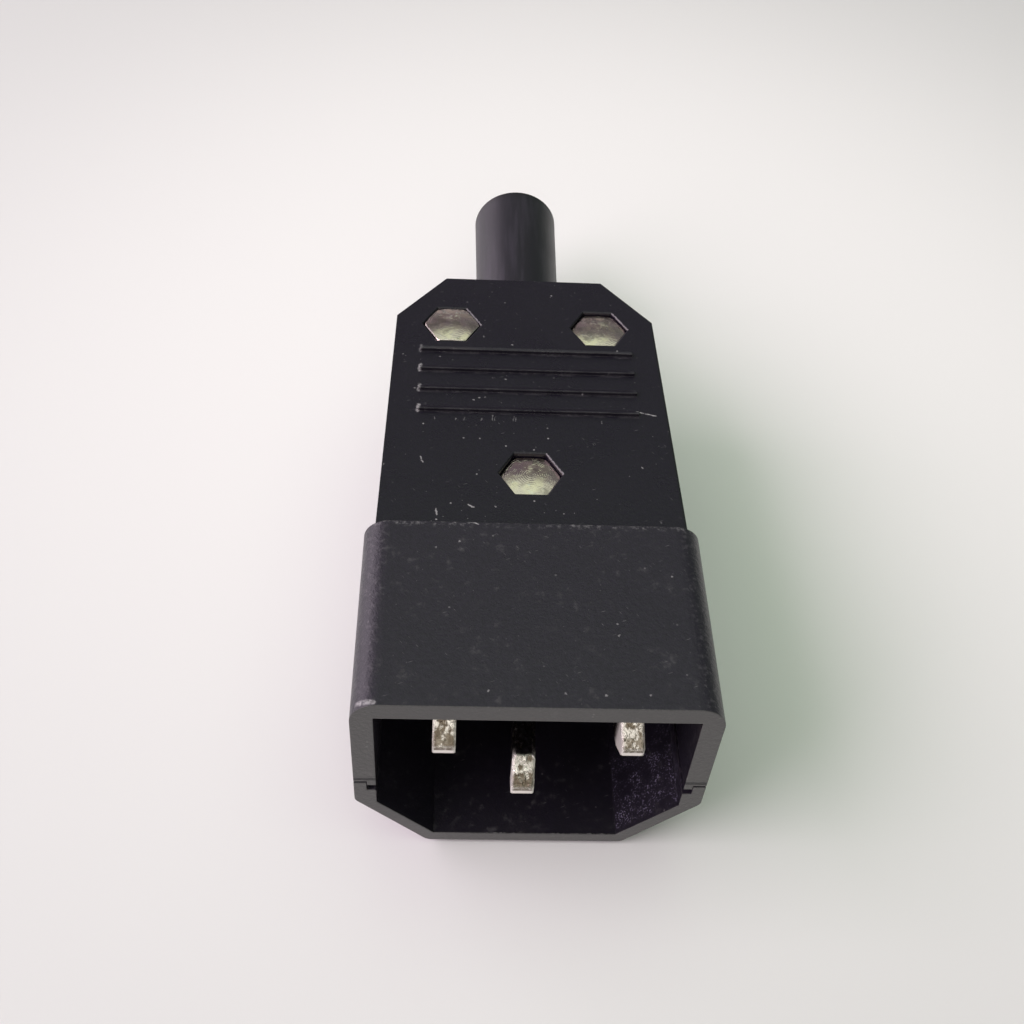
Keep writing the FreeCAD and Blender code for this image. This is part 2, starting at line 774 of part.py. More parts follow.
def case_nut(name, across, along):
    """A blind hexagon nut, turned to a low dome with a chamfer round it and tapped from below."""
    label = f"case_nut_{name}"
    prism = doc.addObject("Part::Prism", f"{label}_prism")
    prism.Polygon = 6
    prism.setExpression("Circumradius", (dim.nut_flats * HEXAGON_POINT).text)
    prism.setExpression("Height", dim.nut_height.text)
    dome = doc.addObject("Part::Sphere", f"{label}_dome")
    dome.Placement.Rotation = FreeCAD.Rotation(FreeCAD.Vector(1, 0, 0), 90)
    dome.setExpression("Radius", dim.nut_dome.text)
    dome.setExpression("Placement.Base.z", (dim.nut_height - dim.nut_dome).text)
    chamfer = doc.addObject("Part::Cone", f"{label}_chamfer")
    chamfer.setExpression("Radius1", dim.nut_cone_base.text)
    chamfer.setExpression("Radius2", dim.nut_cone_top.text)
    chamfer.setExpression("Height", dim.nut_height.text)
    turned = doc.addObject("Part::MultiCommon", f"{label}_turned")
    turned.Shapes = [prism, dome, chamfer]
    thread = doc.addObject("Part::Cylinder", f"{label}_thread")
    thread.setExpression("Radius", (dim.case_thread_radius + dim.thread_clearance).text)
    thread.setExpression("Height", dim.nut_thread_depth.text)
    nut = doc.addObject("Part::Cut", label)
    nut.Base = turned
    nut.Tool = thread
    nut.Label = label
    put(nut, across, along, nut_seat(name))
    return nut


def cord_clamp():
    """The bar that presses the cable on to the saddle, arched to the cable's round."""
    body = new_body("cord_clamp")
    half_length = clamp_screw_side + dim.clamp_end
    front = clamp_along - dim.clamp_width / 2
    rear = clamp_along + dim.clamp_width / 2
    plan = new_sketch(body, "plan", "XY_Plane", dim.clamp_seat)
    draw_polygon(plan, mirrored([
        (half_length - dim.clamp_end_cut, front),
        (half_length, front + dim.clamp_end_cut),
        (half_length, rear - dim.clamp_end_cut),
        (half_length - dim.clamp_end_cut, rear),
    ]))
    pad(body, "bar", plan, clamp_top - dim.clamp_seat)
    arch = new_sketch(body, "arch_profile", "XZ_Plane", -front)
    draw_circle(arch, CENTRE, CENTRE, dim.cable_radius)
    pocket(body, "arch", arch, dim.clamp_width)
    holes = new_sketch(body, "hole_plan", "XY_Plane", clamp_top)
    for across, along in CLAMP_SCREWS.values():
        draw_circle(holes, across, along, dim.clamp_hole_radius)
    pocket(body, "holes", holes, clamp_top - dim.clamp_seat)
    return body


def cable_boot():
    """Rubber sleeve that flares to its end, with a flange that the shells trap inside the rear wall."""
    body = new_body("cable_boot")
    bore = dim.cable_radius + dim.boot_bore_clearance
    end = housing_length + dim.boot_reach
    end_radius = boot_radius + dim.boot_flare
    flange_radius = boot_radius + dim.boot_flange_lip
    profile = new_sketch(body, "profile", "YZ_Plane")
    draw_polygon(profile, [
        (boot_flange_front, bore),
        (end, bore),
        (end, end_radius - dim.boot_end_edge),
        (end - dim.boot_end_edge, end_radius),
        (housing_length, boot_radius),
        (boot_flange_rear, boot_radius),
        (boot_flange_rear, flange_radius),
        (boot_flange_front, flange_radius),
    ])
    revolve(body, "sleeve", profile, "H_Axis")
    return body


pieces = [
    lower_shell(),
    earth_contact(),
    live_contact("line_contact", -pin_side, dim.line_lean),
    live_contact("neutral_contact", pin_side, dim.neutral_lean),
    terminal_screw("line", -pin_side, block_front, live_block_bottom),
    terminal_screw("neutral", pin_side, block_front, live_block_bottom),
    terminal_screw("earth", CENTRE, earth_block_front, earth_block_bottom),
    cord_clamp(),
    cable_boot(),
    upper_shell(),
]
pieces += [clamp_screw(name, *place) for name, place in CLAMP_SCREWS.items()]
pieces += [case_screw(name, *place) for name, place in CASE_SCREWS.items()]
pieces += [case_nut(name, *place) for name, place in CASE_SCREWS.items()]
doc.recompute()

failed = [item.Name for item in doc.Objects if {"Invalid", "Error"} & set(item.State)]
if failed:
    raise RuntimeError(f"features that did not build: {failed}")
for piece in pieces:
    if piece.Shape.isNull() or not piece.Shape.isValid():
        raise RuntimeError(f"{piece.Label} has no valid shape")

os.makedirs("parts", exist_ok=True)
for piece in pieces:
    piece.Shape.exportStep(f"parts/{piece.Label}.step")
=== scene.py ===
import math
import random

import bmesh
import bpy
from mathutils import Matrix, Vector


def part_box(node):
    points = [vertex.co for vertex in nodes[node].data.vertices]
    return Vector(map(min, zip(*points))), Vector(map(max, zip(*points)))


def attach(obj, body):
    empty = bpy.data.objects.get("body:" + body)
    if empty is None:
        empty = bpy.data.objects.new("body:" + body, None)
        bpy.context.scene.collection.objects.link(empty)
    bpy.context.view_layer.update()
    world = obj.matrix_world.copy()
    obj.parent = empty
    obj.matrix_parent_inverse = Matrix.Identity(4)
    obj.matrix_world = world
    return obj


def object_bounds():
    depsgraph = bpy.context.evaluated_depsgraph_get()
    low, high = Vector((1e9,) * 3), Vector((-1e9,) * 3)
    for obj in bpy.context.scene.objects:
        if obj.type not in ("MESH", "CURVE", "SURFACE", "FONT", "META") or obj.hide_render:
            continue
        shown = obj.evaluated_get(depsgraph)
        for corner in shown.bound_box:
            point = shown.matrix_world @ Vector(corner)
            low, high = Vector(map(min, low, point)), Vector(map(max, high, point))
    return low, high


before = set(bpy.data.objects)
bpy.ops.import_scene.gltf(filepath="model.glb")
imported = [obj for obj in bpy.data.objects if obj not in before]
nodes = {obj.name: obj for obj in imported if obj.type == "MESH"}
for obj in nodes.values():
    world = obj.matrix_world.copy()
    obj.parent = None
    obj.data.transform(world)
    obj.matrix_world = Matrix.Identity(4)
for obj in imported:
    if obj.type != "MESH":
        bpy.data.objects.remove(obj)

cad_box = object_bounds()
bpy.context.scene.view_settings.view_transform = "Standard"


# Lower half shell: the moulded tray with the chamfered keel of the shroud, in black thermoplastic.
# It is shot in a spark-eroded tool, so its faces are finely grained and its edges carry a little flash.
# The contacts and the cord clamp are laid in it, and the upper half closes it.
MILLIMETRES = 1000
MIX_SOCKETS = {"RGBA": (6, 7, 2), "VECTOR": (4, 5, 1)}
BEVEL_SAMPLES = 4
SPECK_CORE = 0.3
STREAK_RADIUS = 0.22


class Signal:
    """A shader value that takes part in arithmetic: each operation adds one Math node."""

    def __init__(self, shader, socket):
        self.shader = shader
        self.socket = socket

    def maths(self, operation, first, second=0.0):
        return self.shader.node("ShaderNodeMath", {"operation": operation}, {0: first, 1: second})

    def __add__(self, other):
        return self.maths("ADD", self, other)

    def __sub__(self, other):
        return self.maths("SUBTRACT", self, other)

    def __rsub__(self, other):
        return self.maths("SUBTRACT", other, self)

    def __mul__(self, other):
        return self.maths("MULTIPLY", self, other)

    def __or__(self, other):
        return self.maths("MAXIMUM", self, other)

    def __gt__(self, other):
        return self.maths("GREATER_THAN", self, other)

    def __lt__(self, other):
        return self.maths("LESS_THAN", self, other)

    __radd__ = __add__
    __rmul__ = __mul__
    __ror__ = __or__

    def __abs__(self):
        return self.maths("ABSOLUTE", self)

    def sine(self):
        return self.maths("SINE", self)

    def step(self, start, full):
        """0 as far as start, 1 from full on and smooth between; full may lie below start."""
        return self.shader.node("ShaderNodeMapRange", {"interpolation_type": "SMOOTHSTEP"},
                                {"Value": self, "From Min": start, "From Max": full})


class Shader:
    """A node tree: node() adds one node and gives one of its outputs as a Signal."""

    def __init__(self, tree):
        self.tree = tree
        self.tree.nodes.clear()

    def node(self, kind, settings=None, sockets=None, output=0):
        """One node of that type: its settings first, then the values or links of its sockets."""
        made = self.tree.nodes.new(kind)
        for key, value in (settings or {}).items():
            if key == "stops":
                self.set_stops(made.color_ramp, value)
            else:
                setattr(made, key, value)
        for key, value in (sockets or {}).items():
            if isinstance(value, Signal):
                self.tree.links.new(value.socket, made.inputs[key])
            else:
                made.inputs[key].default_value = value
        return Signal(self, made.outputs[output]) if made.outputs else None

    def set_stops(self, ramp, stops):
        while len(ramp.elements) < len(stops):
            ramp.elements.new(1.0)
        for element, (position, colour) in zip(ramp.elements, stops):
            element.position = position
            element.color = (*colour, 1)

    def split(self, vector):
        """The three parts of a vector."""
        first = self.node("ShaderNodeSeparateXYZ", None, {0: vector})
        return [Signal(self, socket) for socket in first.socket.node.outputs]

    def vector(self, operation, first, second, output=0):
        return self.node("ShaderNodeVectorMath", {"operation": operation}, {0: first, 1: second}, output)

    def place(self):
        """The point on the surface in millimetres, in the frame of the plug."""
        point = self.node("ShaderNodeTexCoord", output="Object")
        return self.vector("MULTIPLY", point, (MILLIMETRES, MILLIMETRES, MILLIMETRES))

    def noise(self, where, size, detail=2.0, roughness=0.5, output=0):
        """Cloudy variation about 0.5, with lumps of the given size in millimetres."""
        sockets = {"Vector": where, "Scale": 1 / size, "Detail": detail, "Roughness": roughness}
        return self.node("ShaderNodeTexNoise", None, sockets, output)

    def specks(self, where, spacing, radius, share):
        """Small round spots of the given radius; only a share of the places has one."""
        settings = {"voronoi_dimensions": "3D", "feature": "F1"}
        sockets = {"Vector": where, "Scale": 1 / spacing}
        distance = self.node("ShaderNodeTexVoronoi", settings, sockets, "Distance")
        colour = Signal(self, distance.socket.node.outputs["Color"])
        lot = self.split(colour)[0]
        return distance.step(radius / spacing, SPECK_CORE * radius / spacing) * (lot < share)

    def between(self, kind, factor, first, second):
        """A colour or a vector between two others."""
        low, high, result = MIX_SOCKETS[kind]
        sockets = {0: factor, low: first, high: second}
        return self.node("ShaderNodeMix", {"data_type": kind}, sockets, result)

    def mix(self, factor, first, second):
        """A colour between two colours."""
        colours = [value if isinstance(value, Signal) else (*value, 1) for value in (first, second)]
        return self.between("RGBA", factor, *colours)

    def edge(self, radius):
        """The normal rounded over sharp edges, and how far it is turned there."""
        sockets = {"Radius": radius / MILLIMETRES}
        rounded = self.node("ShaderNodeBevel", {"samples": BEVEL_SAMPLES}, sockets)
        flat = self.node("ShaderNodeNewGeometry", output="Normal")
        turned = 1 - self.vector("DOT_PRODUCT", rounded, flat, "Value")
        return rounded, turned

    def bump(self, height, depth, normal):
        """A normal that follows a height between 0 and 1, of the given depth in millimetres."""
        sockets = {"Strength": 1.0, "Distance": depth / MILLIMETRES, "Height": height, "Normal": normal}
        return self.node("ShaderNodeBump", None, sockets)

    def surface(self, sockets):
        """Closes the tree with one principled shader."""
        shaded = self.node("ShaderNodeBsdfPrincipled", None, sockets)
        self.node("ShaderNodeOutputMaterial", None, {"Surface": shaded})


def new_finish(name):
    """An empty node material and the shader that fills it."""
    material = bpy.data.materials.new(name)
    material.use_nodes = True
    return material, Shader(material.node_tree)


def dress(material, name):
    """Gives the material to the whole of the named piece."""
    slots = nodes[name].data.materials
    slots.clear()
    slots.append(material)


def streaks(shader, where, length, width, turn, share):
    """Short straight scratches that all run one way, turned from the X axis in the plan."""
    along = shader.node("ShaderNodeMapping", {"vector_type": "TEXTURE"},
                        {"Vector": where, "Rotation": (0, 0, turn), "Scale": (length, width, length)})
    return shader.specks(along, 1.0, STREAK_RADIUS, share)


# Places in millimetres; a pair is where a zone starts and where it is full
MARGIN = 0.1
SHROUD_LENGTH = 18.25
CAVITY_SIDE = 12.25
CAVITY_BOTTOM = -8.15
CAVITY_TOP = 9.0
CHAMFER_ACROSS = 4.6
CHAMFER_UP = 5.0
CHAMFER_SLOPE = CHAMFER_UP / CHAMFER_ACROSS
CHAMFER_FOOT = CAVITY_BOTTOM - CHAMFER_SLOPE * (CAVITY_SIDE - CHAMFER_ACROSS)
SHROUD_ZONE = (SHROUD_LENGTH + MARGIN, SHROUD_LENGTH - MARGIN)
SIDE_ZONE = (CAVITY_SIDE - 0.5, CAVITY_SIDE + 0.4)
RIM_ZONE = (0.06, 0.018)
PAINTED_LOW_RIM_ZONE = (-4.0, -9.0)
GLINT_ACROSS = (2.0, 6.0)
GLINT_FRONT = (MARGIN, 1.0)
GLINT_REAR = (11.0, 4.0)
GLINT_HEIGHT = (0.0, -3.0)

HOUSING_BLACK = (0.0086, 0.0062, 0.0142)
SHROUD_BLACK = (0.0178, 0.0144, 0.0245)
SHADE_BLACK = (0.0045, 0.0040, 0.0066)
RIM_GREY_WITH_PAINTED_LIGHT = (0.067, 0.067, 0.066)
PAINTED_LOW_RIM_LIGHT = (0.090, 0.090, 0.089)
SCUFF_GREY = (0.36, 0.35, 0.36)
PAINTED_GLINT_VIOLET = (0.32, 0.29, 0.42)
GRAIN_AND_SHEEN_LAVENDER = (0.088, 0.078, 0.096)

# Levels of the cloudy variation at which a mark starts and is full
DUSTY = (0.32, 0.56)
STREAKY = (0.46, 0.66)
SMUDGED = (0.54, 0.78)
HANDLED = (0.42, 0.58)
SCUFFED = (0.44, 0.70)
MOTTLED = (0.25, 0.75)
GRAINY = (0.50, 0.68)
GLINTING = (0.54, 0.72)
GLINT_PATCHES = (0.36, 0.62)
PLASTIC_EDGE = (0.03, 0.25)

# Strengths of the marks in the colour, and of what makes the relief and the roughness
FINE_DUST = 0.7
WIPED_SHROUD = 0.65
DUST_LIGHT = 0.75
STREAK_LIGHT = 0.35
SMUDGE_LIGHT = 0.10
SCUFF_LIGHT = 0.30
MOTTLE_SHADE = 0.45
SIDE_GRAIN_AND_SHEEN = 0.45
PAINTED_INSIDE_SHADE = 0.45
PAINTED_GLINT_LIGHT = 0.55
GRAIN_RELIEF = 0.7
MOTTLE_RELIEF = 0.35
SHROUD_RELIEF = 0.5
SIDE_RELIEF = 1.4
CREASE_RELIEF = 2.0
PLASTIC_RELIEF_DEPTH = 0.030
PLASTIC_ROUNDING = 0.14
PLASTIC_IOR = 1.47
PLASTIC_ROUGHNESS = 0.22
CLOUD_ROUGHNESS = 0.14
MARK_ROUGHNESS = 0.25
SHROUD_ROUGHNESS = 0.3
SHROUD_POLISH = 0.07


def inside_mouth(parts):
    """1 on the walls inside the mouth, where the colour gets painted shade, and 0 elsewhere."""
    across, along, up = parts
    side = abs(across)
    above_floor = (up > CAVITY_BOTTOM - MARGIN) * (up > side * CHAMFER_SLOPE + CHAMFER_FOOT - MARGIN)
    below_roof = up < CAVITY_TOP + MARGIN
    return (side < CAVITY_SIDE + MARGIN) * (along < SHROUD_LENGTH) * above_floor * below_roof


def low_right(parts):
    """1 low on the right near the opening, where a painted glint stands for light catching the eroded
    grain, and 0 elsewhere.
    """
    across, along, up = parts
    near_opening = along.step(*GLINT_FRONT) * along.step(*GLINT_REAR)
    low_down = (up > CAVITY_BOTTOM + MARGIN) * up.step(*GLINT_HEIGHT)
    return across.step(*GLINT_ACROSS) * near_opening * low_down


def moulded_plastic(name, own_marks=None, own_creases=None, crisp_edges=None):
    """Black moulded thermoplastic, greyer on the shroud. The cut rim is matt grey with painted light on
    it, lightest low down; the side roundings get grain with a painted sheen, the inside of the mouth
    painted shade, and its low right side a painted glint.
    """
    material, shader = new_finish(name)
    where = shader.place()
    parts = shader.split(where)
    across, along, up = parts
    rounded, turned = shader.edge(PLASTIC_ROUNDING)
    if crisp_edges:
        crisp = crisp_edges(shader, where)
        rounded = shader.between("VECTOR", crisp, rounded, (0.0, 0.0, 1.0))
        turned = turned * (1 - crisp)
    cloud = shader.noise(where, size=5.0, detail=4.0)
    mottle = shader.noise(where, size=0.40, detail=3.0, roughness=0.6)
    grain = shader.noise(where, size=0.15, detail=3.0, roughness=0.65)
    on_shroud = along.step(*SHROUD_ZONE)
    on_side = on_shroud * abs(across).step(*SIDE_ZONE)
    on_rim = along.step(*RIM_ZONE)
    inside = inside_mouth(parts)

    dust = shader.specks(where, spacing=1.2, radius=0.12, share=0.40)
    dust = dust + shader.specks(where, spacing=0.5, radius=0.06, share=0.22) * FINE_DUST
    dust = dust * cloud.step(*DUSTY) * (1 - on_shroud * WIPED_SHROUD)
    fine = streaks(shader, where, length=1.3, width=0.12, turn=0.35, share=0.12)
    fine = fine + streaks(shader, where, length=1.0, width=0.10, turn=-0.9, share=0.10)
    fine = fine * shader.noise(where, size=3.2).step(*STREAKY)
    smudge = shader.noise(where, size=0.8, detail=3.0, roughness=0.6).step(*SMUDGED)
    smudge = smudge * cloud.step(*HANDLED) * on_shroud
    scuffed = shader.noise(where, size=0.45, detail=4.0, roughness=0.7).step(*SCUFFED)
    scuffed = scuffed * turned.step(*PLASTIC_EDGE)
    light = dust * DUST_LIGHT + fine * STREAK_LIGHT + smudge * SMUDGE_LIGHT + scuffed * SCUFF_LIGHT
    if own_marks:
        light = light + own_marks(shader, where)
    light = shader.node("ShaderNodeClamp", None, {"Value": light})

    painted_glint = shader.noise(where, size=0.15, detail=1.0).step(*GLINTING)
    painted_glint = painted_glint * shader.noise(where, size=1.4).step(*GLINT_PATCHES) * inside * low_right(parts)
    base = shader.mix(on_shroud, HOUSING_BLACK, SHROUD_BLACK)
    base = shader.mix(mottle.step(*MOTTLED) * MOTTLE_SHADE, base, SHADE_BLACK)
    # Grain with a painted sheen: lavender specks on the side roundings stand for their sparkling
    # highlight.
    base = shader.mix(mottle.step(*GRAINY) * on_side * SIDE_GRAIN_AND_SHEEN, base, GRAIN_AND_SHEEN_LAVENDER)
    # Painted shade: the walls inside the mouth are painted darker.
    base = shader.mix(inside * PAINTED_INSIDE_SHADE, base, SHADE_BLACK)
    # Painted glint: violet specks low on the right of the mouth.
    base = shader.mix(painted_glint * PAINTED_GLINT_LIGHT, base, PAINTED_GLINT_VIOLET)
    # Painted light: besides being matt, the cut rim is painted a lighter grey, lightest low down.
    base = shader.mix(on_rim, base, shader.mix(up.step(*PAINTED_LOW_RIM_ZONE), RIM_GREY_WITH_PAINTED_LIGHT, PAINTED_LOW_RIM_LIGHT))
    colour = shader.mix(light, base, SCUFF_GREY)
    mottle_relief = on_shroud * SHROUD_RELIEF + on_side * SIDE_RELIEF + MOTTLE_RELIEF
    relief = grain * GRAIN_RELIEF + mottle * mottle_relief
    if own_creases:
        crease = own_creases(shader, where)
        # Painted shade: the crease is painted dark; its groove is cut into the relief below.
        colour = shader.mix(crease, colour, SHADE_BLACK)
        relief = relief - crease * CREASE_RELIEF
    roughness = PLASTIC_ROUGHNESS + cloud * CLOUD_ROUGHNESS + light * MARK_ROUGHNESS
    roughness = roughness + on_shroud * (mottle * SHROUD_ROUGHNESS - SHROUD_POLISH)
    shader.surface({"Base Color": colour, "Roughness": roughness, "IOR": PLASTIC_IOR,
                    "Normal": shader.bump(relief, PLASTIC_RELIEF_DEPTH, rounded)})
    return material


shell_finish = moulded_plastic("lower_shell_plastic")
dress(shell_finish, "lower_shell")

FLASH_FROM = -5.2
FLASH_TO = 7.4
FLASH_STEP = 0.16
FLASH_HEIGHT = 0.16
FLASH_RARITY = 3
FLASH_DEPTH = 0.07
FLASH_SINK = 0.05
FLASH_SEED = 7
draws = random.Random(FLASH_SEED)
flash = bmesh.new()
profile = []
for number in range(int((FLASH_TO - FLASH_FROM) / FLASH_STEP) + 1):
    lump = FLASH_HEIGHT * draws.random() ** FLASH_RARITY
    profile.append((FLASH_FROM + FLASH_STEP * number, CAVITY_BOTTOM + lump))
ends = [(FLASH_TO, CAVITY_BOTTOM - FLASH_SINK), (FLASH_FROM, CAVITY_BOTTOM - FLASH_SINK)]
outline = [flash.verts.new((x / MILLIMETRES, 0, z / MILLIMETRES)) for x, z in profile + ends]
face = flash.faces.new(outline)
grown = bmesh.ops.extrude_face_region(flash, geom=[face])["geom"]
rear = [item for item in grown if isinstance(item, bmesh.types.BMVert)]
bmesh.ops.translate(flash, vec=(0, FLASH_DEPTH / MILLIMETRES, 0), verts=rear)
bmesh.ops.triangulate(flash, faces=flash.faces[:])
bmesh.ops.recalc_face_normals(flash, faces=flash.faces[:])
flash_mesh = bpy.data.meshes.new("mouth_flash")
flash.to_mesh(flash_mesh)
flash.free()
flash_mesh.materials.append(shell_finish)
mouth_flash = bpy.data.objects.new("mouth_flash", flash_mesh)
bpy.context.scene.collection.objects.link(mouth_flash)
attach(mouth_flash, "root")


# Contacts: three flat pins of nickel plated brass, each in one piece with its pillar terminal.
# They are stamped and drawn, so fine lines run along them, and use has scratched and dented the plate.
# A flange on each lies in a groove of the bulkhead and holds it against pull.
BRIGHT_NICKEL = (0.95, 0.92, 0.86)
DULL_NICKEL = (0.58, 0.55, 0.51)
BARE_BRASS = (0.17, 0.14, 0.105)
PLATE_WEAR = {"earth": 1.0, "line": 0.55, "neutral": 0.55}
TIP_FACE = 0.15
TIP_BAND_ABOVE = 0.08
TIP_BAND_BELOW = 0.06
TIP_ZONE = (0.42, 0.26)
BEHIND_TIP_ZONE = (0.95, 0.65)
SHEARED_ZONE = (3.0, 1.6)
SHEARED_FACING = (0.30, 0.75)
BEHIND_TIP_PATCHES = (0.42, 0.50)
DENTED = (0.56, 0.66)
TARNISHED = (0.44, 0.58)
DULLED = (0.4, 0.7)
PIN_EDGE_HIGHLIGHT = (0.02, 0.2)
DENT_LIGHT = 0.8
BEHIND_TIP_DARKENING = 0.85
PIN_ROUNDING = 0.38
PIN_RELIEF_DEPTH = 0.14
DENT_RELIEF = 0.8
DRAWN_RELIEF = 0.2
PLATE_ROUGHNESS = 0.14
DULL_ROUGHNESS = 0.14
DRAWN_ROUGHNESS = 0.05
MATT_ROUGHNESS = 0.3
MATT_SCATTER = 0.7


def plated_brass(name, tip, tip_middle, wear):
    """Dented plate over brass: matt on the sheared sides, with a painted highlight as a matt bright band
    low on the tip, and patchy darker brass behind the tip.
    """
    material, shader = new_finish(name)
    where = shader.place()
    along, up = shader.split(where)[1:]
    from_tip = along - tip
    drawn = shader.noise(shader.vector("MULTIPLY", where, (9.0, 0.5, 9.0)), size=1.0, detail=3.0)
    dents = shader.noise(where, size=0.45, roughness=0.55)
    stretched = shader.vector("MULTIPLY", where, (1.0, 0.5, 1.0))
    tarnish = shader.noise(stretched, size=0.7, detail=4.0, roughness=0.6)
    rounded, turned = shader.edge(PIN_ROUNDING)
    sheared = abs(shader.split(rounded)[0]).step(*SHEARED_FACING) * from_tip.step(*SHEARED_ZONE)
    # Painted highlight: a matt bright band low on the tip.
    low_on_tip = up.step(tip_middle + TIP_BAND_ABOVE, tip_middle - TIP_BAND_BELOW)
    painted_tip_highlight = from_tip.step(*TIP_ZONE) * low_on_tip
    matt = sheared + painted_tip_highlight * (1 - sheared)
    # Patchy darker brass from just behind the tip back.
    darker_behind_tip = from_tip.step(*BEHIND_TIP_ZONE) * (1 - painted_tip_highlight) * dents.step(*BEHIND_TIP_PATCHES)
    colour = shader.mix(tarnish.step(*TARNISHED), DULL_NICKEL, BARE_BRASS)
    colour = shader.mix(dents.step(*DENTED) * (DENT_LIGHT * wear), colour, BRIGHT_NICKEL)
    colour = shader.mix(darker_behind_tip * BEHIND_TIP_DARKENING, colour, BARE_BRASS)
    # Painted highlight: the rounded edges are painted bright nickel.
    colour = shader.mix(turned.step(*PIN_EDGE_HIGHLIGHT), colour, BRIGHT_NICKEL)
    colour = shader.mix(matt, colour, BRIGHT_NICKEL)
    roughness = PLATE_ROUGHNESS + tarnish.step(*DULLED) * DULL_ROUGHNESS
    roughness = roughness + drawn * DRAWN_ROUGHNESS + matt * MATT_ROUGHNESS
    relief = dents * DENT_RELIEF + drawn * DRAWN_RELIEF
    shader.surface({"Base Color": colour, "Metallic": 1 - matt * MATT_SCATTER, "Roughness": roughness,
                    "Normal": shader.bump(relief, PIN_RELIEF_DEPTH * wear, rounded)})
    return material


for pole, wear in PLATE_WEAR.items():
    points = [vertex.co * MILLIMETRES for vertex in nodes[f"{pole}_contact"].data.vertices]
    pin_tip = min(point.y for point in points)
    heights = [point.z for point in points if point.y < pin_tip + TIP_FACE]
    tip_middle = (min(heights) + max(heights)) / 2
    dress(plated_brass(f"{pole}_contact_plate", pin_tip, tip_middle, wear), f"{pole}_contact")


# Terminal screws: slotted steel screws, turned and zinc plated, one in each pillar terminal.
# Their ends press on the bare wire in the terminal's hole.
ZINC = (0.62, 0.62, 0.60)
ZINC_BLOOM = (0.54, 0.55, 0.57)
RUBBED_ZINC = (0.92, 0.88, 0.84)
PAINTED_HIGHLIGHT_ZINC = (0.90, 0.86, 0.82)
IN_PLAN = (1, 1, 0)
TOOL_RING = 0.20
RING_WOBBLE = 11.0
RING_REAR = (-0.5, 0.6)
RING_FAINT = 0.3
RING_STRONG = 0.7
RING_BREAKS = (0.42, 0.60)
RING_GROOVE = (0.55, 0.90)
BLOOMED = (0.38, 0.60)
STAINED = (0.50, 0.72)
STAIN_MATT = (0.5, 0.75)
RUBBED = (0.56, 0.72)
ZINC_EDGE = (0.02, 0.15)
DARK_SHARE = 0.35
STAIN_SHADE = 0.7
RING_SHADE = 0.75
RUB_LIGHT = 0.6
PAINTED_EDGE_HIGHLIGHT = 0.7
ZINC_ROUNDING = 0.20
ZINC_RELIEF_DEPTH = 0.020
RING_RELIEF = 0.7
RUB_RELIEF = 0.3
ZINC_ROUGHNESS = 0.11
RUB_ROUGHNESS = 0.10
STAIN_ROUGHNESS = 0.10


def zinc_steel(name, colour, bloom, centre):
    """Turned and plated steel: tool rings about an axis along Z, and a bloom of a second colour."""
    material, shader = new_finish(name)
    where = shader.place()
    along = shader.split(where)[1]
    middle = centre * MILLIMETRES
    flat = shader.vector("MULTIPLY", where, IN_PLAN)
    spread = shader.vector("DISTANCE", flat, (middle.x, middle.y, 0), "Value")
    wobble = shader.noise(where, size=1.2, detail=3.0)
    rubbed = shader.noise(where, size=0.30, detail=4.0, roughness=0.65)
    stain = shader.noise(where, size=1.1, detail=3.0)
    rings = (spread * (2 * math.pi / TOOL_RING) + wobble * RING_WOBBLE).sine() * 0.5 + 0.5
    broken = shader.noise(where, size=0.60, detail=3.0, roughness=0.6).step(*RING_BREAKS)
    at_rear = along.step(*(middle.y + edge for edge in RING_REAR))
    broken = broken * (at_rear * RING_STRONG + RING_FAINT)
    rounded, turned = shader.edge(ZINC_ROUNDING)
    dark = tuple(DARK_SHARE * part for part in bloom)
    shade = shader.mix(wobble.step(*BLOOMED), colour, bloom)
    shade = shader.mix(stain.step(*STAINED) * STAIN_SHADE, shade, dark)
    shade = shader.mix(rings.step(*RING_GROOVE) * broken * RING_SHADE, shade, dark)
    shade = shader.mix(rubbed.step(*RUBBED) * RUB_LIGHT, shade, RUBBED_ZINC)
    # Painted highlight: the rounded edges are painted a brighter zinc.
    shade = shader.mix(turned.step(*ZINC_EDGE) * PAINTED_EDGE_HIGHLIGHT, shade, PAINTED_HIGHLIGHT_ZINC)
    roughness = ZINC_ROUGHNESS + rubbed * RUB_ROUGHNESS + stain.step(*STAIN_MATT) * STAIN_ROUGHNESS
    relief = rings * broken * RING_RELIEF + rubbed * RUB_RELIEF
    shader.surface({"Base Color": shade, "Metallic": 1.0, "Roughness": roughness,
                    "Normal": shader.bump(relief, ZINC_RELIEF_DEPTH, rounded)})
    return material


def dress_turned(colour, bloom, *names):
    """Gives each turned piece a plate of its own, with the rings about its own axis."""
    for name in names:
        low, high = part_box(name)
        dress(zinc_steel(f"{name}_plate", colour, bloom, (low + high) / 2), name)


dress_turned(ZINC, ZINC_BLOOM, *(f"{pole}_terminal_screw" for pole in ("line", "neutral", "earth")))


# Cord clamp: a small moulded bar that two steel screws draw down on the cord's sheath.
# It sits on posts of the lower half and is of the same plastic, and its screws are slotted.
dress(moulded_plastic("clamp_plastic"), "cord_clamp")
dress_turned(ZINC, ZINC_BLOOM, "clamp_screw_left", "clamp_screw_right")


